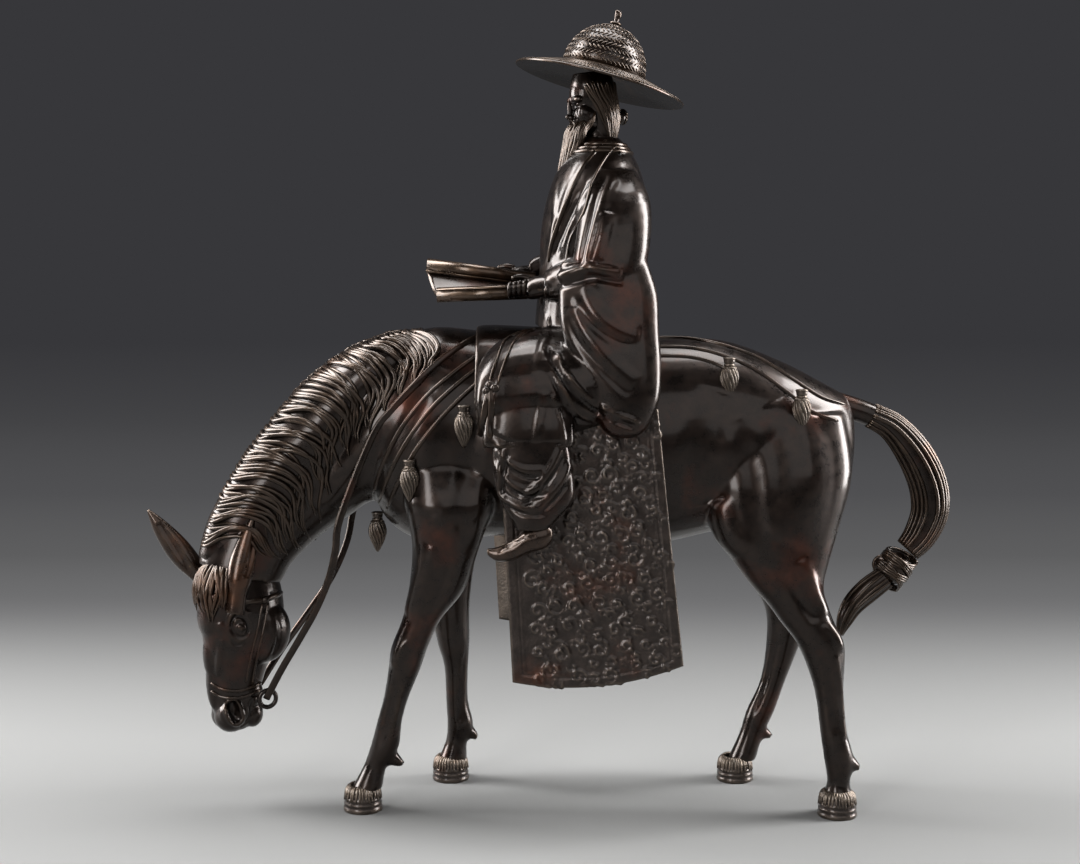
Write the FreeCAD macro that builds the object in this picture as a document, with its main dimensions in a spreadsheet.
"""Bronze table group: a rider in a broad woven hat reads a scroll on a mule that lowers its head.

Millimetres. The mule faces -X, its left ("near") side faces -Y, and +Z is up. The origin lies on the
ground below the middle of the group. Each sub-part is a separate casting or fitting, as on a bench.
"""
import FreeCAD, Part
import math
import os
import Sketcher

Vec = FreeCAD.Vector
Turn = FreeCAD.Rotation
X_AXIS, Y_AXIS, Z_AXIS = Vec(1, 0, 0), Vec(0, 1, 0), Vec(0, 0, 1)
NEAR, FAR = -1, 1
RING_START = 10.0

# Driving sizes in millimetres
SIZES = {
    # the mule: its places are shares of the first three
    "trunk_length": 250.0,
    "trunk_width": 80.0,
    "back_height": 250.0,
    "trunk_depth": 110.0,
    "neck_depth": 90.0,
    "neck_width": 60.0,
    "head_length": 93.0,
    "head_depth": 50.0,
    "head_width": 35.0,
    "ear_length": 44.0,
    "ear_width": 13.0,
    "leg_depth": 20.0,
    "leg_width": 20.0,
    "hoof_radius": 10.3,
    "hoof_height": 11.0,
    "spur_length": 11.0,
    "tail_depth": 20.0,
    "tail_width": 16.0,
    # the tack
    "strap_thickness": 1.6,
    "strap_width": 6.0,
    "breast_strap_width": 10.0,
    "tassel_length": 22.0,
    "tassel_width": 10.0,
    "ring_radius": 4.5,
    "ring_wire": 1.2,
    "saddle_width": 97.0,
    "saddle_height": 42.0,
    "flap_length": 92.0,
    "flap_drop": 142.0,
    "flap_thickness": 2.4,
    "flap_border": 5.0,
    "flap_relief": 0.7,
    "peg_radius": 4.0,
    "peg_height": 9.0,
    # the rider: places are shares of the first, measured up from the mule's back
    "figure_height": 200.0,
    "figure_depth": 60.0,
    "figure_width": 70.0,
    "limb_depth": 40.0,
    "limb_width": 20.0,
    "roll_length": 58.0,
    "roll_radius": 4.6,
    "leaf_width": 22.0,
    "leaf_thickness": 1.2,
    "hat_radius": 45.6,
    "hat_drop": 7.0,
    "brim_thickness": 1.6,
    "crown_radius": 22.5,
    "crown_height": 24.0,
    "finial_radius": 3.4,
    "finial_height": 8.0,
    # fits
    "lift_clearance": 0.4,
    "overrun": 4.0,
}

doc = FreeCAD.newDocument("RiderOnMule")
sheet = doc.addObject("Spreadsheet::Sheet", "Sizes")
for row, (alias, value) in enumerate(SIZES.items(), start=1):
    sheet.set(f"A{row}", alias)
    sheet.set(f"B{row}", str(value))
    sheet.setAlias(f"B{row}", alias)
doc.recompute()

# Frames: which sizes the columns of a table of shares are shares of
MULE = {
    "x": "Sizes.trunk_length", "y": "Sizes.trunk_width", "z": "Sizes.back_height",
    "origin": ("0", "0", "0"),
}
RIDER = {
    "x": "Sizes.figure_height", "y": "Sizes.saddle_width", "z": "Sizes.figure_height",
    "origin": ("0", "0", "Sizes.back_height"),
}
HEAD = {
    "x": "Sizes.head_depth", "y": "Sizes.head_width", "z": "Sizes.head_length",
    "origin": ("0", "0", "0"),
}

NODES = []


def bind(thing, expressions):
    """Tie properties to formulas of the sheet's cells."""
    for name, expression in expressions.items():
        thing.setExpression(name, expression)


def add(kind, name):
    """A new object of the document, with its name as its label."""
    thing = doc.addObject(kind, name)
    thing.Label = name
    return thing


def node(thing, label):
    """Mark an object as a finished sub-part and name it."""
    thing.Label = label
    NODES.append(thing)
    return thing


def unit_square():
    """A square with half sides of 1, which sizes scale."""
    sketch = doc.addObject("Sketcher::SketchObject", "UnitSquare")
    corners = [Vec(1, 1, 0), Vec(-1, 1, 0), Vec(-1, -1, 0), Vec(1, -1, 0)]
    for start, end in zip(corners, corners[1:] + corners[:1]):
        sketch.addGeometry(Part.LineSegment(start, end), False)
    return sketch


def unit_ring():
    """A circle with a radius of 1, in quarter arcs, which sizes scale."""
    sketch = doc.addObject("Sketcher::SketchObject", "UnitRing")
    circle = Part.Circle(Vec(0, 0, 0), Z_AXIS, 1)
    for quarter in range(4):
        start = math.radians(RING_START + 90 * quarter)
        sketch.addGeometry(Part.ArcOfCircle(circle, start, start + math.pi / 2), False)
    return sketch


UNIT_RING = unit_ring()
UNIT_SQUARE = unit_square()


def place_formulas(frame, shares, side=1):
    """Formulas for the place of a point that a row of shares gives."""
    along, across, up = shares[:3]
    ox, oy, oz = frame["origin"]
    return {
        "Placement.Base.x": f"{ox} + {frame['x']} * ({along:.5f})",
        "Placement.Base.y": f"{oy} + {frame['y']} * ({across * side:.5f})",
        "Placement.Base.z": f"{oz} + {frame['z']} * ({up:.5f})",
    }


def headings(frame, rows):
    """The slope of a route at each of its points, in degrees, seen from the side."""
    def value(key):
        return float(sheet.get(frame[key].split(".")[1]))

    points = [(row[0] * value("x"), row[2] * value("z")) for row in rows]
    slopes = []
    for i in range(len(points)):
        before, after = points[max(i - 1, 0)], points[min(i + 1, len(points) - 1)]
        slopes.append(math.degrees(math.atan2(after[1] - before[1], after[0] - before[0])))
    return slopes


def eased(rows):
    """The same form with a ring halfway between each two, on a curve through the four around it."""
    finer = []
    for i, row in enumerate(rows[:-1]):
        before, after, beyond = rows[max(i - 1, 0)], rows[i + 1], rows[min(i + 2, len(rows) - 1)]
        finer.append(row)
        finer.append([(9 * (b + c) - a - d) / 16 for a, b, c, d in zip(before, row, after, beyond)])
    return finer + [rows[-1]]


def limb(name, frame, rows, depth, width, side=1, follow=False, square=False, grow="0", ease=True):
    """A cast form lofted through rings.

    A row holds the ring's place along, across and up, its half depth and half width, and the lean of
    its depth from level in degrees. With follow, the rings stand square to the route instead.
    """
    rows = eased(rows) if ease else rows
    slopes = headings(frame, rows) if follow else None
    rings = []
    for i, row in enumerate(rows):
        ring = add("Part::Scale", f"{name}_ring_{i + 1}")
        ring.Base = UNIT_SQUARE if square else UNIT_RING
        ring.Uniform = False
        bind(ring, {
            "XScale": f"Sizes.{depth} * {row[3]:.5f} + {grow}",
            "YScale": f"Sizes.{width} * {row[4]:.5f} + {grow}",
        })
        lean = slopes[i] + 90.0 if follow else (row[5] if len(row) > 5 else 0.0)
        ring.Placement.Rotation = Turn(Y_AXIS, -lean)
        bind(ring, place_formulas(frame, row, side))
        rings.append(ring)
    loft = add("Part::Loft", name)
    loft.Sections = rings
    loft.Solid = True
    loft.Ruled = True
    return loft


def fused(name, *things):
    """Several forms cast as one."""
    whole = add("Part::MultiFuse", name)
    whole.Shapes = list(things)
    return whole


def seated(name, base, *carriers):
    """A form cut to sit on those that carry it."""
    for i, carrier in enumerate(carriers):
        cut = add("Part::Cut", f"{name}_on_{carrier.Name}")
        cut.Base = base
        cut.Tool = carrier
        base = cut
    return base


def band(name, shell, slab, *carriers):
    """A strap: the part of a form's shell inside a slab, seated on the forms below it."""
    strip = add("Part::MultiCommon", f"{name}_strip")
    strip.Shapes = [shell, slab]
    return seated(name, strip, *carriers)


# Mule: trunk and neck

TRUNK_SHARES = (
    (-0.388, 0, 0.78, 0.12, 0.15, 90),
    (-0.372, 0, 0.788, 0.33, 0.31, 90),
    (-0.328, 0, 0.788, 0.46, 0.41, 90),
    (-0.248, 0, 0.788, 0.525, 0.475, 90),
    (-0.12, 0, 0.79, 0.496, 0.5, 90),
    (0.06, 0, 0.78, 0.497, 0.51, 90),
    (0.22, 0, 0.776, 0.5, 0.51, 90),
    (0.36, 0, 0.788, 0.462, 0.49, 90),
    (0.48, 0, 0.774, 0.4, 0.45, 90),
    (0.58, 0, 0.758, 0.32, 0.36, 90),
    (0.628, 0, 0.768, 0.23, 0.24, 90),
    (0.642, 0, 0.784, 0.1, 0.11, 90),
)
NECK_SHARES = (
    (-0.25, 0, 0.8, 0.5, 0.45, 76),
    (-0.35, 0, 0.829, 0.51, 0.5, 81),
    (-0.452, -0.01, 0.78, 0.46, 0.433, 97),
    (-0.53, -0.04, 0.708, 0.37, 0.367, 112),
    (-0.588, -0.08, 0.638, 0.304, 0.317, 128),
    (-0.636, -0.13, 0.568, 0.27, 0.283, 150),
    (-0.662, -0.16, 0.5, 0.25, 0.267, 166),
)
trunk_form = limb("trunk_form", MULE, TRUNK_SHARES, "trunk_depth", "trunk_width")
neck_form = limb("neck_form", MULE, NECK_SHARES, "neck_depth", "neck_width")

# Mule: head, in its own frame with the poll at the origin, the muzzle down and the forehead to -X

HEAD_PLACE_SHARES = (-0.664, -0.17, 0.516)
HEAD_YAW = 28.0
HEAD_SHARES = (
    (0.02, 0, 0.05, 0.2, 0.22),
    (0, 0, -0.03, 0.4, 0.38),
    (0.01, 0, -0.17, 0.49, 0.48),
    (0.02, 0, -0.36, 0.5, 0.5),
    (-0.03, 0, -0.58, 0.34, 0.38),
    (-0.06, 0, -0.76, 0.26, 0.31),
    (-0.05, 0, -0.86, 0.25, 0.32),
    (-0.06, 0, -0.94, 0.2, 0.26),
    (-0.07, 0, -0.965, 0.08, 0.1),
)


def on_head(thing):
    """Put a form made in the head's own frame where the head is."""
    thing.Placement.Rotation = Turn(Z_AXIS, HEAD_YAW)
    bind(thing, place_formulas(MULE, HEAD_PLACE_SHARES))
    return thing


# Lumps on the skull: the middle's place and the half sizes along, across and up
HEAD_LUMP_SHARES = {
    "eye": ((-0.25, 0.25, -0.3), (0.17, 0.2, 0.07)),
    "nostril": ((-0.16, 0.17, -0.85), (0.13, 0.19, 0.085)),
    "chin": ((0.1, 0.06, -0.87), (0.13, 0.16, 0.075)),
}


def head_lump(tag, name, side):
    """A rounded lump on one side of the skull."""
    place_shares, half_shares = HEAD_LUMP_SHARES[name]
    lump = add("Part::Ellipsoid", f"{tag}_{name}_lump")
    lump.Angle1 = -90
    along, across, up = half_shares
    bind(lump, {
        "Radius1": f"Sizes.head_length * {up}",
        "Radius2": f"Sizes.head_depth * {along}",
        "Radius3": f"Sizes.head_width * {across}",
    })
    bind(lump, place_formulas(HEAD, place_shares, side))
    return lump


skull_blank = limb("skull_blank", HEAD, HEAD_SHARES, "head_depth", "head_width")
lumps = [head_lump(tag, name, side) for name in HEAD_LUMP_SHARES for tag, side in (("near", NEAR), ("far", FAR))]
head_form = on_head(fused("head_form", skull_blank, *lumps))

EAR_SHARES = (
    (0, 0, 0.05, 0.42, 0.35),
    (-0.02, 0, 0.2, 0.46, 0.37),
    (-0.02, 0, 0.4, 0.47, 0.31),
    (0, 0, 0.6, 0.4, 0.24),
    (0.03, 0, 0.8, 0.26, 0.16),
    (0.08, 0, 1.0, 0.05, 0.05),
)
EAR_CUP_SHARES = (
    (-0.2, -0.42, 0.14, 0.12, 0.12),
    (-0.24, -0.42, 0.4, 0.24, 0.2),
    (-0.2, -0.3, 0.7, 0.14, 0.14),
    (-0.1, -0.2, 0.9, 0.04, 0.05),
)
EAR = {
    "x": "Sizes.ear_width", "y": "Sizes.ear_width", "z": "Sizes.ear_length",
    "origin": ("0", "0", "0"),
}
EAR_ROOT_SHARES = {"near_ear": (0.05, 0, -0.08, 0.36, 0.3), "far_ear": (0.05, 0, -0.34, 0.36, 0.3)}
EAR_PLACE_SHARES = {"near_ear": (-0.658, -0.36, 0.46), "far_ear": (-0.758, -0.015, 0.488)}
EAR_TURNS = {"near_ear": Turn(0, 11, -4), "far_ear": Turn(0, -38, 4)}


def ear(label):
    """A pointed ear with its hollow to the front."""
    leaf_shares = (EAR_ROOT_SHARES[label],) + EAR_SHARES
    leaf = limb(f"{label}_leaf", EAR, leaf_shares, "ear_width", "ear_width", ease=False)
    cup = limb(f"{label}_cup", EAR, EAR_CUP_SHARES, "ear_width", "ear_width", ease=False)
    for form in (leaf, cup):
        form.Placement.Rotation = EAR_TURNS[label]
        bind(form, place_formulas(MULE, EAR_PLACE_SHARES[label]))
    return leaf, cup


# Mule: legs, each from inside the trunk down to its hoof

LEG_SHARES = {
    "near_foreleg": (
        (-0.2, -0.32, 0.76, 1.1, 0.45),
        (-0.21, -0.38, 0.66, 1.15, 0.78),
        (-0.22, -0.37, 0.568, 0.88, 0.68),
        (-0.24, -0.36, 0.476, 0.73, 0.56),
        (-0.272, -0.35, 0.412, 0.51, 0.47),
        (-0.298, -0.34, 0.352, 0.48, 0.45),
        (-0.309, -0.34, 0.306, 0.42, 0.4),
        (-0.327, -0.33, 0.244, 0.33, 0.31),
        (-0.342, -0.32, 0.19, 0.33, 0.3),
        (-0.353, -0.31, 0.136, 0.38, 0.33),
        (-0.374, -0.3, 0.094, 0.31, 0.3),
        (-0.392, -0.3, 0.044, 0.42, 0.42),
    ),
    "far_foreleg": (
        (-0.2, 0.32, 0.76, 1.1, 0.45),
        (-0.212, 0.38, 0.64, 1.05, 0.75),
        (-0.222, 0.38, 0.52, 0.72, 0.58),
        (-0.226, 0.38, 0.408, 0.56, 0.48),
        (-0.219, 0.38, 0.316, 0.46, 0.43),
        (-0.213, 0.38, 0.26, 0.34, 0.32),
        (-0.211, 0.38, 0.18, 0.31, 0.3),
        (-0.204, 0.38, 0.124, 0.37, 0.33),
        (-0.213, 0.38, 0.088, 0.3, 0.3),
        (-0.222, 0.38, 0.044, 0.42, 0.42),
    ),
    "near_hindleg": (
        (0.472, -0.24, 0.84, 1.7, 0.7),
        (0.47, -0.28, 0.72, 1.96, 0.96),
        (0.464, -0.31, 0.6, 1.68, 0.9),
        (0.476, -0.34, 0.54, 1.3, 0.76),
        (0.49, -0.36, 0.484, 0.95, 0.62),
        (0.512, -0.37, 0.444, 0.78, 0.54),
        (0.532, -0.38, 0.408, 0.7, 0.5),
        (0.561, -0.39, 0.36, 0.61, 0.46),
        (0.574, -0.4, 0.296, 0.44, 0.38),
        (0.58, -0.4, 0.244, 0.35, 0.32),
        (0.588, -0.41, 0.18, 0.35, 0.32),
        (0.6, -0.42, 0.12, 0.39, 0.33),
        (0.6, -0.42, 0.072, 0.3, 0.3),
        (0.598, -0.42, 0.044, 0.4, 0.4),
    ),
    "far_hindleg": (
        (0.472, 0.24, 0.84, 1.7, 0.7),
        (0.47, 0.28, 0.72, 1.96, 0.96),
        (0.464, 0.31, 0.6, 1.66, 0.9),
        (0.48, 0.34, 0.532, 1.2, 0.74),
        (0.5, 0.36, 0.464, 0.85, 0.58),
        (0.528, 0.37, 0.392, 0.64, 0.5),
        (0.52, 0.37, 0.316, 0.48, 0.42),
        (0.497, 0.37, 0.226, 0.35, 0.32),
        (0.47, 0.37, 0.157, 0.39, 0.33),
        (0.45, 0.37, 0.104, 0.34, 0.31),
        (0.428, 0.37, 0.044, 0.4, 0.4),
    ),
}
HOOF_PLACE_SHARES = {
    "near_fore_hoof": (-0.4, -0.3),
    "far_fore_hoof": (-0.226, 0.38),
    "near_hind_hoof": (0.598, -0.42),
    "far_hind_hoof": (0.414, 0.37),
}
FETLOCK_SHARES = {
    "near_foreleg": (-0.335, -0.3, 0.1, 1),
    "far_foreleg": (-0.186, 0.38, 0.098, 1),
    "near_hindleg": (0.622, -0.42, 0.104, 1),
    "far_hindleg": (0.474, 0.37, 0.1, 1),
}
SPUR_LEAN = 58.0
SPUR_BASE_SHARE, SPUR_TIP_SHARE, SPUR_ROOT_SHARE = 0.36, 0.08, 0.5
HOOF_SHARES = ((0.84, 1.0), (0.94, 0.82), (0.86, 0.74), (0.98, 0.52), (0.9, 0.45), (1.0, 0.22), (1.0, 0.0))


def fetlock_spur(label):
    """The pointed tuft behind a fetlock."""
    spur = add("Part::Cone", f"{label}_spur")
    bind(spur, {
        "Radius1": f"Sizes.spur_length * {SPUR_BASE_SHARE}",
        "Radius2": f"Sizes.spur_length * {SPUR_TIP_SHARE}",
        "Height": "Sizes.spur_length",
    })
    spur.Placement.Rotation = Turn(Y_AXIS, 180.0 - SPUR_LEAN)
    bind(spur, place_formulas(MULE, FETLOCK_SHARES[label]))
    bind(spur, {"Placement.Base.x": f"Sizes.trunk_length * ({FETLOCK_SHARES[label][0]})"
                                    f" - Sizes.spur_length * {SPUR_ROOT_SHARE}",
                "Placement.Base.z": f"Sizes.back_height * {FETLOCK_SHARES[label][2]}"
                                    f" + Sizes.spur_length * {SPUR_ROOT_SHARE}"})
    return spur


def plane_of(body, role):
    """The origin plane of a body that has this role."""
    return [plane for plane in body.Origin.OriginFeatures if plane.Role == role][0]


def sketch_on(body, name, role):
    """An empty sketch on one of a body's own origin planes."""
    sketch = body.newObject("Sketcher::SketchObject", name)
    sketch.AttachmentSupport = (plane_of(body, role), [""])
    sketch.MapMode = "FlatFace"
    return sketch


def polygon(sketch, corners):
    """A closed outline of straight edges, each corner bound to a pair of formulas."""
    count = len(corners)
    lines = [sketch.addGeometry(Part.LineSegment(Vec(i, i * i, 0), Vec(i + 1, (i + 1) ** 2, 0)), False)
             for i in range(count)]
    for i in range(count):
        sketch.addConstraint(Sketcher.Constraint("Coincident", lines[i - 1], 2, lines[i], 1))
    for i, (across, up) in enumerate(corners):
        for kind, formula, tag in (("DistanceX", across, "x"), ("DistanceY", up, "y")):
            made = sketch.addConstraint(Sketcher.Constraint(kind, -1, 1, lines[i], 1, 1.0 + i))
            sketch.renameConstraint(made, f"{tag}{i}")
            sketch.setExpression(f"Constraints.{tag}{i}", formula)


def turned(name, corners):
    """A form turned about its own upright axis from a half outline of radius and height."""
    body = add("PartDesign::Body", name)
    sketch = sketch_on(body, f"{name}_outline", "XZ_Plane")
    polygon(sketch, corners)
    revolution = body.newObject("PartDesign::Revolution", f"{name}_turned")
    revolution.Profile = sketch
    revolution.ReferenceAxis = (sketch, ["V_Axis"])
    revolution.Angle = 360.0
    body.Tip = revolution
    return body


def hoof(label):
    """A horn hoof with its growth rings."""
    corners = [("0", "Sizes.hoof_height")]
    corners += [(f"Sizes.hoof_radius * {r}", f"Sizes.hoof_height * {z}") for r, z in HOOF_SHARES]
    corners += [("0", "0")]
    body = turned(label, corners)
    along, across = HOOF_PLACE_SHARES[label]
    bind(body, {
        "Placement.Base.x": f"Sizes.trunk_length * ({along})",
        "Placement.Base.y": f"Sizes.trunk_width * ({across})",
    })
    return node(body, label)


HOOVES = [hoof(label) for label in HOOF_PLACE_SHARES]

TRUNK = node(trunk_form, "mule_trunk")
HEAD_NODE = node(head_form, "mule_head")
NECK = node(seated("neck", neck_form, trunk_form, head_form), "mule_neck")
LEGS = []
for label, shares in LEG_SHARES.items():
    column = limb(f"{label}_column", MULE, shares, "leg_depth", "leg_width", ease=False)
    leg = fused(f"{label}_with_spur", column, fetlock_spur(label))
    LEGS.append(node(seated(label, leg, trunk_form, *HOOVES), label))
EARS = []
for label in EAR_PLACE_SHARES:
    leaf, cup = ear(label)
    EARS.append(node(seated(label, leaf, cup, head_form, NECK), label))

# Mule: tail, from the dock to the tied end

TAIL_SHARES = (
    (0.6, 0, 0.856, 0.35, 0.4),
    (0.652, 0, 0.842, 0.33, 0.4),
    (0.692, 0, 0.826, 0.33, 0.4),
    (0.732, 0, 0.802, 0.4, 0.46),
    (0.776, 0, 0.748, 0.5, 0.52),
    (0.806, 0, 0.684, 0.525, 0.54),
    (0.812, 0, 0.624, 0.515, 0.54),
    (0.792, 0, 0.572, 0.45, 0.5),
    (0.762, 0, 0.534, 0.36, 0.42),
)
TAIL_KNOT_SHARES = (
    (0.766, 0, 0.546, 0.25, 0.3),
    (0.754, 0, 0.526, 0.5, 0.58),
    (0.738, 0, 0.502, 0.56, 0.64),
    (0.722, 0, 0.478, 0.5, 0.58),
    (0.71, 0, 0.464, 0.25, 0.3),
)
TAIL_LOOP_PLACE_SHARES = (0.712, 0, 0.508)
TAIL_LOOP_RADIUS_SHARE = 0.27
TAIL_END_SHARES = (
    (0.716, 0, 0.476, 0.34, 0.4),
    (0.684, 0, 0.454, 0.38, 0.42),
    (0.65, 0, 0.42, 0.33, 0.38),
    (0.632, 0, 0.384, 0.24, 0.28),
    (0.624, 0, 0.352, 0.06, 0.08),
)
tail_form = limb("tail_form", MULE, TAIL_SHARES, "tail_depth", "tail_width", follow=True)
knot_wrap = limb("tail_wrap", MULE, TAIL_KNOT_SHARES, "tail_depth", "tail_width", follow=True)
knot_loop = add("Part::Sphere", "tail_loop")
bind(knot_loop, {"Radius": f"Sizes.tail_depth * {TAIL_LOOP_RADIUS_SHARE}"})
bind(knot_loop, place_formulas(MULE, TAIL_LOOP_PLACE_SHARES))
tail_end_form = limb("tail_end_form", MULE, TAIL_END_SHARES, "tail_depth", "tail_width", follow=True)
KNOT = node(fused("knot", knot_wrap, knot_loop), "tail_knot")
node(seated("tail", tail_form, trunk_form, KNOT), "tail")
node(seated("tail_tip", tail_end_form, KNOT), "tail_end")

# Mule: tack. Straps are slices of the forms' own shells, so they follow the body below them

THICK = "Sizes.strap_thickness"
trunk_shell = limb("trunk_shell", MULE, TRUNK_SHARES, "trunk_depth", "trunk_width", grow=THICK)
neck_shell = limb("neck_shell", MULE, NECK_SHARES, "neck_depth", "neck_width", grow=THICK)
head_shell = on_head(limb("head_shell", HEAD, HEAD_SHARES, "head_depth", "head_width", grow=THICK))

HEADSTALL_SHARES = ((0, 0, -0.17, 1, 1), (0, 0, -0.21, 1, 1))
NOSEBAND_SHARES = ((0, 0, -0.7, 1, 1), (0, 0, -0.75, 1, 1))
CHEEK_SHARES = ((0.1, 0, -0.21, 0.045, 1), (-0.02, 0, -0.7, 0.045, 1))


def head_band(name, shares, *others):
    """A strap of the headstall."""
    slab = on_head(limb(f"{name}_slab", HEAD, shares, "head_depth", "head_width", square=True, ease=False))
    return node(band(name, head_shell, slab, head_form, *others), name)


HEADSTALL = head_band("headstall", HEADSTALL_SHARES, NECK, *EARS)
NOSEBAND = head_band("noseband", NOSEBAND_SHARES)
head_band("cheek_straps", CHEEK_SHARES)

FORELOCK_SHARES = (
    (-0.3, 0, 0.02, 0.12, 0.18),
    (-0.44, 0.04, -0.06, 0.15, 0.26),
    (-0.48, 0.08, -0.2, 0.12, 0.27),
    (-0.5, 0.12, -0.32, 0.08, 0.2),
    (-0.48, 0.14, -0.42, 0.03, 0.06),
)
forelock_form = on_head(limb("forelock_form", HEAD, FORELOCK_SHARES, "head_depth", "head_width"))
FORELOCK = node(seated("forelock", forelock_form, head_form, NECK, HEADSTALL, *EARS), "forelock_hair")

MANE_SHARES = (
    (-0.27, -0.06, 0.962, 0.12, 0.2, 80),
    (-0.35, -0.06, 0.928, 0.23, 0.4, 85),
    (-0.452, -0.06, 0.844, 0.31, 0.445, 97),
    (-0.546, -0.08, 0.744, 0.3, 0.4, 112),
    (-0.61, -0.12, 0.66, 0.265, 0.355, 128),
    (-0.662, -0.165, 0.58, 0.225, 0.32, 150),
    (-0.69, -0.18, 0.522, 0.185, 0.27, 166),
)
mane_form = limb("mane_form", MULE, MANE_SHARES, "neck_depth", "neck_width")
MANE = node(seated("mane_hair", mane_form, NECK, trunk_form, head_form, HEADSTALL, FORELOCK, *EARS), "mane")

BREAST_SLAB_SHARES = ((-0.12, 0, 0.972, 0.5, 0.8), (-0.416, 0, 0.564, 0.5, 0.8))
chest_shell = fused("chest_shell", trunk_shell, neck_shell)
breast_slab = limb("breast_slab", MULE, BREAST_SLAB_SHARES, "breast_strap_width", "trunk_width",
                   follow=True, square=True, ease=False)
BREAST_STRAP = node(band("breast", chest_shell, breast_slab, NECK, trunk_form, MANE, *LEGS[:2]),
                    "breast_strap")

CRUPPER_SLAB_SHARES = ((0.226, 0.27, 0.9, 0.24, 0.42, 90), (0.636, 0.1, 0.9, 0.24, 0.42, 90))


def crupper(side, tag):
    """The strap from the saddle to the dock, on one side."""
    slab = limb(f"{tag}_crupper_slab", MULE, CRUPPER_SLAB_SHARES, "trunk_depth", "strap_width", side=side,
                square=True, ease=False)
    return band(f"{tag}_crupper", trunk_shell, slab, trunk_form, tail_form)


CRUPPER = node(fused("crupper", crupper(NEAR, "near"), crupper(FAR, "far")), "crupper_straps")

TASSEL = {
    "x": "Sizes.tassel_width", "y": "Sizes.tassel_width", "z": "Sizes.tassel_length",
    "origin": ("0", "0", "0"),
}
TASSEL_SHARES = (
    (0, 0, 0.05, 0.1, 0.1),
    (0, 0, 0, 0.3, 0.3),
    (0, 0, -0.12, 0.32, 0.32),
    (0, 0, -0.17, 0.22, 0.22),
    (0, 0, -0.24, 0.4, 0.4),
    (0, 0, -0.5, 0.5, 0.5),
    (0, 0, -0.8, 0.3, 0.3),
    (0, 0, -1.0, 0.05, 0.05),
)
TASSEL_PLACES = {
    "breast_tassels": ((-0.292, 0.485, 0.75), (-0.18, 0.51, 0.862)),
    "crupper_tassels": ((0.364, 0.39, 0.958), (0.512, 0.42, 0.893)),
}
CHEST_TASSEL_PLACE_SHARES = (-0.374, 0, 0.622)


def tassel(name, place_shares, side=1):
    """A cast tassel: cap, neck and bud."""
    bud = limb(name, TASSEL, TASSEL_SHARES, "tassel_width", "tassel_width", ease=False)
    bind(bud, place_formulas(MULE, place_shares, side))
    return bud


for label, places in TASSEL_PLACES.items():
    group = add("Part::Compound", f"{label}_group")
    hung = []
    for i, place_shares in enumerate(places):
        for tag, side in (("near", NEAR), ("far", FAR)):
            bud = tassel(f"{tag}_{label}_{i + 1}", place_shares, side)
            hung.append(seated(f"{tag}_{label}_{i + 1}", bud, trunk_form, BREAST_STRAP, CRUPPER, *LEGS))
    group.Links = hung
    node(group, label)
chest_bud = tassel("chest_bud", CHEST_TASSEL_PLACE_SHARES)
node(seated("chest", chest_bud, trunk_form, NECK, BREAST_STRAP), "chest_tassel")

BIT_RING_PLACE_SHARES = (0.2, 0.44, -0.75)
RING_BOSS_PLACE_SHARES = (0.1, 0.378, -0.75)
RING_BOSS_RADIUS_SHARE = 1.6


def ring_boss(tag, side):
    """The stud that joins the ring to the noseband."""
    boss = add("Part::Sphere", f"{tag}_ring_boss")
    bind(boss, {"Radius": f"Sizes.ring_wire * {RING_BOSS_RADIUS_SHARE}"})
    bind(boss, place_formulas(HEAD, RING_BOSS_PLACE_SHARES, side))
    return boss


def bit_ring(tag, side):
    """A ring at the corner of the mouth, held by the noseband."""
    ring = add("Part::Torus", f"{tag}_bit_ring")
    bind(ring, {"Radius1": "Sizes.ring_radius", "Radius2": "Sizes.ring_wire"})
    ring.Placement.Rotation = Turn(X_AXIS, 90)
    bind(ring, place_formulas(HEAD, BIT_RING_PLACE_SHARES, side))
    placed = on_head(fused(f"{tag}_bit_ring_on_head", ring, ring_boss(tag, side)))
    return seated(f"{tag}_bit", placed, head_form, NOSEBAND)


bit_group = add("Part::Compound", "bit_ring_group")
bit_group.Links = [bit_ring("near", NEAR), bit_ring("far", FAR)]
BIT_RINGS = node(bit_group, "bit_rings")

REIN_TOP_SHARES = (
    (-0.42, 0.42, 0.7, 0.5, 0.5),
    (-0.394, 0.43, 0.79, 0.5, 0.5),
    (-0.353, 0.43, 0.841, 0.5, 0.5),
    (-0.311, 0.41, 0.892, 0.5, 0.5),
    (-0.229, 0.37, 0.955, 0.5, 0.5),
    (-0.18, 0.25, 0.992, 0.5, 0.5),
    (-0.168, 0.12, 1.006, 0.5, 0.6),
)
NEAR_REIN_SHARES = (
    (-0.6, 0.3, 0.24, 0.3, 0.5),
    (-0.564, 0.34, 0.331, 0.45, 0.5),
    (-0.522, 0.38, 0.39, 0.4, 0.5),
    (-0.48, 0.41, 0.462, 0.4, 0.5),
    (-0.456, 0.42, 0.53, 0.45, 0.5),
    (-0.438, 0.42, 0.62, 0.5, 0.5),
) + REIN_TOP_SHARES
FAR_REIN_SHARES = (
    (-0.637, 0.084, 0.243, 0.28, 0.5),
    (-0.59, 0.2, 0.32, 0.45, 0.5),
    (-0.54, 0.3, 0.39, 0.4, 0.5),
    (-0.49, 0.38, 0.462, 0.4, 0.5),
    (-0.458, 0.42, 0.53, 0.45, 0.5),
    (-0.438, 0.42, 0.62, 0.5, 0.5),
) + REIN_TOP_SHARES
REIN_BRIDGE_SHARES = ((-0.19, 0, 1.0, 0.2, 0.2, 90), (-0.164, 0, 1.0, 0.2, 0.2, 90))


def rein_strip(tag, shares, side):
    """One side of the rein, a flat bronze strip on edge to the view."""
    return limb(f"{tag}_rein_strip", MULE, shares, "strap_width", "strap_thickness", side=side, follow=True,
                square=True, ease=False)


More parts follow.
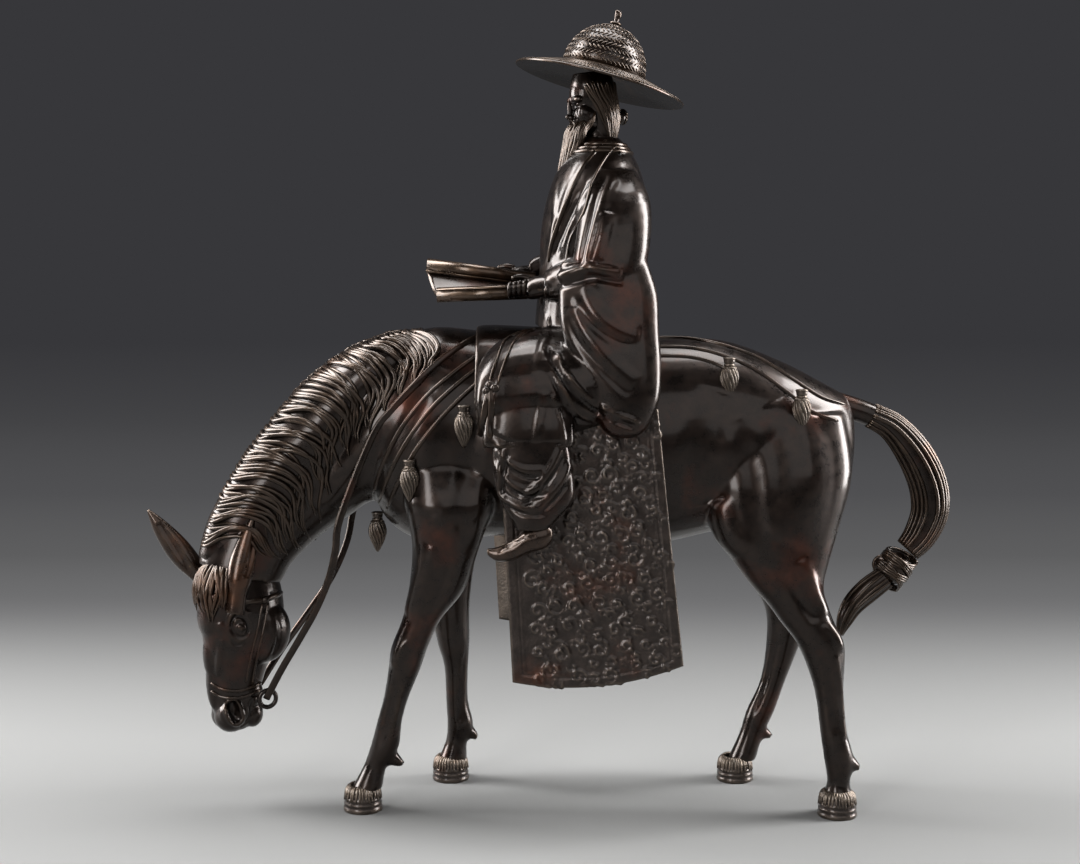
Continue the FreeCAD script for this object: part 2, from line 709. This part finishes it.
rein_slab = limb("rein_slab", MULE, REIN_BRIDGE_SHARES, "trunk_depth", "trunk_width", square=True, ease=False)
rein_bridge = add("Part::MultiCommon", "rein_bridge")
rein_bridge.Shapes = [trunk_shell, rein_slab]
rein_loop = fused("rein_loop", rein_strip("near", NEAR_REIN_SHARES, NEAR),
                  rein_strip("far", FAR_REIN_SHARES, FAR), rein_bridge)
REIN = node(seated("rein", rein_loop, trunk_form, NECK, BREAST_STRAP, MANE, BIT_RINGS, head_form),
            "rein_strap")

# Saddle, its peg and the two flaps

SADDLE_SPAN_SHARES = (-0.148, 0.222)
SADDLE_SIDE_SHARE = 0.856
STRADDLE_SPAN_SHARES = (-0.3, 0.32)
PEG_PLACE_SHARE = 0.11


def barrel(name, span_shares, grow):
    """A round bar along the mule's back, as wide as the saddle."""
    rows = [(share, 0, SADDLE_SIDE_SHARE, 1, 0.5, 90) for share in span_shares]
    return limb(name, MULE, rows, "saddle_height", "saddle_width", grow=grow, ease=False)


def block(name, size, corner):
    """A box with its size and its low corner given by formulas."""
    box = add("Part::Box", name)
    bind(box, dict(zip(("Length", "Width", "Height"), size)))
    bind(box, dict(zip(("Placement.Base.x", "Placement.Base.y", "Placement.Base.z"), corner)))
    return box


saddle_barrel = barrel("saddle_barrel", SADDLE_SPAN_SHARES, "0")
below_saddle = block("below_saddle",
                     ("Sizes.trunk_length", "Sizes.saddle_width * 2", "Sizes.saddle_height * 2"),
                     ("-Sizes.trunk_length * 0.5", "-Sizes.saddle_width",
                      f"Sizes.back_height * {SADDLE_SIDE_SHARE} - Sizes.saddle_height * 2"))
SADDLE = node(seated("saddle", saddle_barrel, below_saddle, trunk_form, BREAST_STRAP, CRUPPER, REIN),
              "saddle_seat")


def upright_pin(name, grow):
    """A pin through the saddle's top, or the hole for it where it is grown by the clearance."""
    pin = add("Part::Cylinder", name)
    bind(pin, {
        "Radius": f"Sizes.peg_radius + {grow}",
        "Height": f"Sizes.peg_height + {grow}",
        "Placement.Base.x": f"Sizes.figure_height * {PEG_PLACE_SHARE}",
        "Placement.Base.z": f"Sizes.back_height * {SADDLE_SIDE_SHARE} + Sizes.saddle_height - Sizes.overrun",
    })
    return pin


node(seated("peg", upright_pin("peg_blank", "0"), SADDLE), "seat_peg")

# What the rider straddles, with the clearance that lets the rider lift off
CLEAR = "Sizes.lift_clearance"
low_end, high_end = STRADDLE_SPAN_SHARES
straddle_sides = block("straddle_sides",
                       (f"Sizes.trunk_length * {high_end - low_end:.3f}", f"Sizes.saddle_width + 2 * {CLEAR}",
                        f"Sizes.back_height * {SADDLE_SIDE_SHARE}"),
                       (f"Sizes.trunk_length * ({low_end})", f"-Sizes.saddle_width * 0.5 - {CLEAR}", "0"))
STRADDLE = fused("straddle", barrel("straddle_barrel", STRADDLE_SPAN_SHARES, CLEAR), straddle_sides,
                 upright_pin("peg_hole", CLEAR))

# Corners of a flap: shares of its length and of its drop, from the saddle's side
FLAP_CORNER_SHARES = ((-0.3, 0.0), (-0.22, -0.985), (0.25, -1.0), (0.73, -0.925), (0.58, 0.0))
FLAP_SHIFT_SHARES = {"near_flap": (0.0, 1.0), "far_flap": (-0.1, 0.9)}


def size(alias):
    """A size read from the sheet."""
    return float(sheet.get(alias))


def flap_face(label, inset):
    """A flap's outline with an arched hem, drawn in by an inset."""
    shift, drop = FLAP_SHIFT_SHARES[label]
    (x0, z0), (x1, z1), (x2, z2), (x3, z3), (x4, z4) = [
        ((x + shift) * size("flap_length"), z * drop * size("flap_drop")) for x, z in FLAP_CORNER_SHARES]
    top_front, top_back = Vec(x0 + inset, 0, z0), Vec(x4 - inset, 0, z4)
    low_front, low_back = Vec(x1 + inset, 0, z1 + inset), Vec(x3 - inset, 0, z3 + inset)
    hem = Part.Arc(low_front, Vec(x2, 0, z2 + inset), low_back).toShape()
    return Part.Face(Part.Wire([
        Part.LineSegment(top_front, low_front).toShape(), hem,
        Part.LineSegment(low_back, top_back).toShape(), Part.LineSegment(top_back, top_front).toShape()]))


def flap(label, side):
    """A hanging saddle flap: a plate with a raised border on its outer face."""
    plate, relief = size("flap_thickness"), size("flap_relief")
    outer = flap_face(label, 0)
    border = outer.cut(flap_face(label, size("flap_border")))
    solid = outer.extrude(Vec(0, side * plate, 0))
    border.translate(Vec(0, side * plate, 0))
    solid = solid.fuse(border.extrude(Vec(0, side * relief, 0))).removeSplitter()
    piece = add("Part::Feature", label)
    piece.Shape = solid
    bind(piece, {
        "Placement.Base.y": f"{side} * (Sizes.saddle_width * 0.5 - Sizes.flap_thickness - Sizes.flap_relief)",
        "Placement.Base.z": f"Sizes.back_height * {SADDLE_SIDE_SHARE}",
    })
    return node(piece, label)


flap("near_flap", NEAR)
flap("far_flap", FAR)

# Rider: robe, sleeves and lap

ROBE_SHARES = (
    (0.11, 0, -0.09, 0.5, 0.49),
    (0.105, 0, 0.025, 0.508, 0.47),
    (0.108, 0, 0.15, 0.483, 0.457),
    (0.113, 0, 0.275, 0.483, 0.486),
    (0.12, 0, 0.375, 0.44, 0.5),
    (0.125, 0, 0.45, 0.35, 0.386),
    (0.13, 0, 0.495, 0.225, 0.214),
    (0.13, 0, 0.52, 0.15, 0.13),
)
UPPER_ARM_SHARES = (
    (0.15, 0.24, 0.42, 0.3, 0.5),
    (0.16, 0.36, 0.33, 0.45, 0.65),
    (0.15, 0.443, 0.21, 0.475, 0.65),
    (0.13, 0.464, 0.13, 0.45, 0.6),
)
NEAR_FOREARM_SHARES = (
    (0.17, 0.44, 0.17, 0.35, 0.55, 90),
    (0.08, 0.38, 0.155, 0.3, 0.5, 90),
    (0.01, 0.28, 0.14, 0.22, 0.4, 90),
    (-0.02, 0.23, 0.135, 0.17, 0.33, 90),
)
FAR_FOREARM_SHARES = (
    (0.17, 0.44, 0.19, 0.35, 0.55, 90),
    (0.06, 0.36, 0.185, 0.3, 0.5, 90),
    (-0.03, 0.25, 0.17, 0.24, 0.4, 90),
    (-0.06, 0.2, 0.165, 0.18, 0.33, 90),
)
SLEEVE_DRAPE_SHARES = (
    (0.13, 0.464, 0.175, 0.6, 0.5),
    (0.145, 0.515, 0.02, 0.625, 0.5),
    (0.183, 0.545, -0.155, 0.44, 0.45),
    (0.18, 0.55, -0.225, 0.3, 0.35),
    (0.178, 0.55, -0.255, 0.15, 0.15),
)
LAP_SHARES = (
    (0.25, 0.18, -0.12, 0.4, 0.46, 90),
    (0.125, 0.22, -0.12, 0.5, 0.54, 90),
    (-0.025, 0.25, -0.135, 0.525, 0.56, 90),
    (-0.125, 0.29, -0.145, 0.48, 0.5, 90),
    (-0.18, 0.38, -0.155, 0.33, 0.36, 90),
    (-0.195, 0.44, -0.16, 0.12, 0.2, 90),
)
TROUSER_SHARES = (
    (-0.055, 0.6, -0.24, 0.475, 0.38),
    (-0.05, 0.6, -0.32, 0.5, 0.4),
    (-0.04, 0.6, -0.4, 0.48, 0.4),
    (-0.045, 0.6, -0.45, 0.3, 0.33),
    (-0.05, 0.6, -0.475, 0.21, 0.28),
)
SHOE_SHARES = (
    (-0.0, 0.6, -0.49, 0.08, 0.12, 90),
    (-0.02, 0.6, -0.495, 0.16, 0.24, 90),
    (-0.06, 0.6, -0.505, 0.165, 0.27, 90),
    (-0.1, 0.6, -0.53, 0.13, 0.25, 90),
    (-0.14, 0.6, -0.54, 0.09, 0.19, 90),
    (-0.165, 0.6, -0.535, 0.04, 0.1, 90),
)
NEAR_HAND_SHARES = (
    (-0.01, 0.24, 0.132, 0.12, 0.24, 90),
    (-0.04, 0.19, 0.125, 0.15, 0.32, 90),
    (-0.07, 0.16, 0.12, 0.11, 0.26, 90),
    (-0.085, 0.15, 0.12, 0.04, 0.1, 90),
)
FAR_HAND_SHARES = (
    (-0.05, 0.21, 0.163, 0.12, 0.24, 90),
    (-0.08, 0.15, 0.155, 0.15, 0.32, 90),
    (-0.11, 0.1, 0.15, 0.11, 0.26, 90),
    (-0.125, 0.09, 0.148, 0.04, 0.1, 90),
)

robe_form = limb("robe_form", RIDER, ROBE_SHARES, "figure_depth", "figure_width")


def sleeve_form(tag, forearm_shares, side):
    """An arm in its wide hanging sleeve."""
    parts = [
        limb(f"{tag}_upper_arm", RIDER, UPPER_ARM_SHARES, "limb_depth", "limb_width", side=side, ease=False),
        limb(f"{tag}_forearm", RIDER, forearm_shares, "limb_depth", "limb_width", side=side, ease=False),
        limb(f"{tag}_drape", RIDER, SLEEVE_DRAPE_SHARES, "limb_depth", "limb_width", side=side),
    ]
    return fused(f"{tag}_sleeve_form", *parts)


near_sleeve_form = sleeve_form("near", NEAR_FOREARM_SHARES, NEAR)
far_sleeve_form = sleeve_form("far", FAR_FOREARM_SHARES, FAR)
NEAR_SLEEVE = node(seated("near_sleeve_cut", near_sleeve_form, robe_form, STRADDLE), "near_sleeve")
FAR_SLEEVE = node(seated("far_sleeve_cut", far_sleeve_form, robe_form, STRADDLE), "far_sleeve")
ROBE = node(seated("robe_cut", robe_form, STRADDLE), "robe_body")

near_lap_form = limb("near_lap_form", RIDER, LAP_SHARES, "figure_depth", "figure_width", side=NEAR)
far_lap_form = limb("far_lap_form", RIDER, LAP_SHARES, "figure_depth", "figure_width", side=FAR)
NEAR_LAP = node(seated("near_lap_cut", near_lap_form, STRADDLE, robe_form, near_sleeve_form, far_sleeve_form),
                "near_lap")
FAR_LAP = node(seated("far_lap_cut", far_lap_form, STRADDLE, robe_form, far_sleeve_form, near_sleeve_form,
                      NEAR_LAP), "far_lap")

for tag, side, lap in (("near", NEAR, NEAR_LAP), ("far", FAR, FAR_LAP)):
    trouser = limb(f"{tag}_trouser_form", RIDER, TROUSER_SHARES, "limb_depth", "limb_width", side=side)
    leg = node(seated(f"{tag}_trouser_cut", trouser, lap, STRADDLE), f"{tag}_trouser")
    shoe = limb(f"{tag}_shoe_form", RIDER, SHOE_SHARES, "limb_depth", "limb_width", side=side)
    node(seated(f"{tag}_shoe_cut", shoe, leg, STRADDLE), f"{tag}_shoe")

near_hand_form = limb("near_hand_form", RIDER, NEAR_HAND_SHARES, "limb_depth", "limb_width", side=NEAR,
                      ease=False)
far_hand_form = limb("far_hand_form", RIDER, FAR_HAND_SHARES, "limb_depth", "limb_width", side=FAR,
                     ease=False)
NEAR_HAND = node(seated("near_hand_cut", near_hand_form, NEAR_SLEEVE, robe_form), "near_hand")
FAR_HAND = node(seated("far_hand_cut", far_hand_form, FAR_SLEEVE, robe_form, NEAR_HAND), "far_hand")

# Rider: the scroll, two rolls with the open leaf between them

ROLL_PLACE_SHARES = {"near_roll": (-0.01, -0.17, 0.118), "far_roll": (-0.045, 0.07, 0.15)}
ROLL_WAYS = {"near_roll": Vec(-1, 0.05, -0.04), "far_roll": Vec(-1, -0.03, 0.13)}
LEAF_SHARES = ((-0.03, -0.05, 0.134), (-0.31, -0.044, 0.147))
LEAF_TURNS = (75.0, 49.0)


def roll(name):
    """One rolled end of the scroll."""
    bar = add("Part::Cylinder", name)
    bind(bar, {"Radius": "Sizes.roll_radius", "Height": "Sizes.roll_length"})
    bar.Placement.Rotation = Turn(Z_AXIS, ROLL_WAYS[name])
    bind(bar, place_formulas(RIDER, ROLL_PLACE_SHARES[name]))
    return bar


def open_leaf():
    """The open leaf between the rolls, which twists a little from end to end."""
    ends = []
    for i, (shares, turn) in enumerate(zip(LEAF_SHARES, LEAF_TURNS)):
        end = add("Part::Scale", f"leaf_end_{i + 1}")
        end.Base = UNIT_SQUARE
        end.Uniform = False
        bind(end, {"XScale": "Sizes.leaf_width / 2", "YScale": "Sizes.leaf_thickness / 2"})
        end.Placement.Rotation = Turn(Y_AXIS, -90).multiply(Turn(Z_AXIS, turn))
        bind(end, place_formulas(RIDER, shares))
        ends.append(end)
    leaf = add("Part::Loft", "leaf")
    leaf.Sections = ends
    leaf.Solid = True
    leaf.Ruled = True
    return leaf


scroll_form = fused("scroll_form", roll("near_roll"), roll("far_roll"), open_leaf())
node(seated("scroll_cut", scroll_form, NEAR_HAND, FAR_HAND, NEAR_SLEEVE, FAR_SLEEVE, ROBE, NEAR_LAP, FAR_LAP),
     "scroll")

# Rider: head, hair and beard

FACE_SHARES = (
    (0.12, 0, 0.485, 0.2, 0.35),
    (0.11, 0, 0.52, 0.225, 0.375),
    (0.103, 0, 0.55, 0.29, 0.44),
    (0.105, 0, 0.59, 0.34, 0.51),
    (0.11, 0, 0.63, 0.34, 0.51),
    (0.115, 0, 0.665, 0.26, 0.4),
    (0.12, 0, 0.69, 0.1, 0.15),
)
NOSE_SHARES = (
    (0.045, 0, 0.618, 0.03, 0.07),
    (0.037, 0, 0.6, 0.06, 0.1),
    (0.03, 0, 0.588, 0.09, 0.15),
    (0.038, 0, 0.58, 0.05, 0.1),
)
BEARD_SHARES = (
    (0.055, 0, 0.565, 0.1, 0.3),
    (0.05, 0, 0.545, 0.17, 0.36),
    (0.045, 0, 0.5, 0.15, 0.36),
    (0.048, 0, 0.455, 0.1, 0.24),
    (0.052, 0, 0.415, 0.02, 0.06),
)
HAIR_SHARES = (
    (0.15, 0, 0.525, 0.1, 0.25),
    (0.16, 0, 0.56, 0.22, 0.5),
    (0.15, 0, 0.61, 0.28, 0.56),
    (0.14, 0, 0.65, 0.27, 0.5),
)
BUN_PLACE_SHARES = (0.195, 0, 0.57)
BUN_RADIUS_SHARE = 0.13
skull = limb("skull", RIDER, FACE_SHARES, "limb_depth", "limb_width")
nose = limb("nose", RIDER, NOSE_SHARES, "limb_depth", "limb_width", ease=False)
FACE = node(seated("face_cut", fused("face", skull, nose), robe_form), "rider_head")
BEARD = node(seated("beard_cut", limb("beard_form", RIDER, BEARD_SHARES, "limb_depth", "limb_width"), FACE,
                    robe_form), "beard")
bun = add("Part::Sphere", "bun")
bind(bun, {"Radius": f"Sizes.limb_depth * {BUN_RADIUS_SHARE}"})
bind(bun, place_formulas(RIDER, BUN_PLACE_SHARES))
hair_form = fused("hair_form", limb("hair_cap", RIDER, HAIR_SHARES, "limb_depth", "limb_width"), bun)
HAIR = node(seated("hair_cut", hair_form, FACE, robe_form), "hair")

# Rider: collar, lapels and sash

robe_shell = limb("robe_shell", RIDER, ROBE_SHARES, "figure_depth", "figure_width", grow=THICK)
COLLAR_SLAB_SHARES = ((0.13, 0, 0.455, 1.2, 2.5), (0.13, 0, 0.505, 1.2, 2.5))
LAPEL_SLAB_SHARES = ((-0.03, 0.14, 0.455, 0.7, 0.2), (-0.03, -0.09, 0.17, 0.7, 0.2))
collar_slab = limb("collar_slab", RIDER, COLLAR_SLAB_SHARES, "limb_depth", "limb_width", square=True,
                   ease=False)
COLLAR = node(band("collar_band", robe_shell, collar_slab, robe_form, FACE, BEARD, HAIR), "collar")
lapel_slabs = fused("lapel_slabs", *[
    limb(f"{tag}_lapel_slab", RIDER, LAPEL_SLAB_SHARES, "limb_depth", "limb_width", side=side, square=True,
         ease=False) for tag, side in (("near", NEAR), ("far", FAR))])
node(band("lapel_bands", robe_shell, lapel_slabs, robe_form, FACE, BEARD, COLLAR, NEAR_SLEEVE, FAR_SLEEVE),
     "lapels")

SASH_SHARES = (
    (-0.15, 0.5, -0.115, 0.03, 0.08),
    (-0.165, 0.51, -0.128, 0.12, 0.22),
    (-0.178, 0.52, -0.145, 0.1, 0.16),
    (-0.186, 0.54, -0.2, 0.06, 0.18),
    (-0.184, 0.54, -0.265, 0.05, 0.2),
)
sash_form = limb("sash_form", RIDER, SASH_SHARES, "limb_depth", "limb_width", side=NEAR, ease=False)
node(seated("sash_cut", sash_form, NEAR_LAP, STRADDLE), "sash_knot")

# Rider: hat, tilted back on its own axis

HAT_PLACE_SHARES = (0.1245, 0, 0.655)
HAT_TILT = 14.7
FINIAL_SHARES = ((1.0, 0.0), (0.5, 0.3), (0.8, 0.6))
CROWN_BASE = "(Sizes.hat_drop + Sizes.brim_thickness)"
CROWN_TOP = "(Sizes.hat_drop + Sizes.brim_thickness + Sizes.crown_height)"


def on_hat(thing, rise="0"):
    """Put a turned form on the hat's axis, this far up it."""
    thing.Placement.Rotation = Turn(Y_AXIS, HAT_TILT)
    formulas = place_formulas(RIDER, HAT_PLACE_SHARES)
    formulas["Placement.Base.x"] += f" + {rise} * {math.sin(math.radians(HAT_TILT)):.5f}"
    formulas["Placement.Base.z"] += f" + {rise} * {math.cos(math.radians(HAT_TILT)):.5f}"
    bind(thing, formulas)
    return thing


brim = on_hat(turned("brim_turned", [
    ("0", "Sizes.hat_drop"), ("Sizes.crown_radius", "Sizes.hat_drop"), ("Sizes.hat_radius", "0"),
    ("Sizes.hat_radius", "Sizes.brim_thickness"), ("Sizes.crown_radius", CROWN_BASE), ("0", CROWN_BASE)]))
crown = add("Part::Ellipsoid", "crown_dome")
crown.Angle1 = 0
crown.Angle2 = 90
bind(crown, {
    "Radius1": "Sizes.crown_height", "Radius2": "Sizes.crown_radius", "Radius3": "Sizes.crown_radius",
})
on_hat(crown, CROWN_BASE)
finial_outline = [(f"Sizes.finial_radius * {r}", f"Sizes.finial_height * {z}") for r, z in FINIAL_SHARES]
finial_outline = [("0", "0")] + finial_outline + [("0", "Sizes.finial_height")]
finial = on_hat(turned("finial_turned", finial_outline), CROWN_TOP)
BRIM = node(seated("brim_cut", brim, FACE, HAIR), "hat_brim")
CROWN = node(seated("crown_cut", crown, FACE, HAIR), "hat_crown")
node(seated("finial_cut", finial, CROWN), "hat_finial")

# Final steps

doc.recompute()


def check_and_export():
    """Stop on any failed object, then write one file per sub-part."""
    for thing in doc.Objects:
        if "Invalid" in thing.State or "Error" in thing.State:
            raise RuntimeError(f"{thing.Label} failed: {thing.State}")
    os.makedirs("parts", exist_ok=True)
    for thing in NODES:
        shape = thing.Shape
        if shape.isNull() or not shape.isValid() or not shape.Solids:
            raise RuntimeError(f"{thing.Label} has no valid solid")
        shape.exportStep(f"parts/{thing.Label}.step")
        print(thing.Label, len(shape.Solids), round(shape.Volume))


check_and_export()
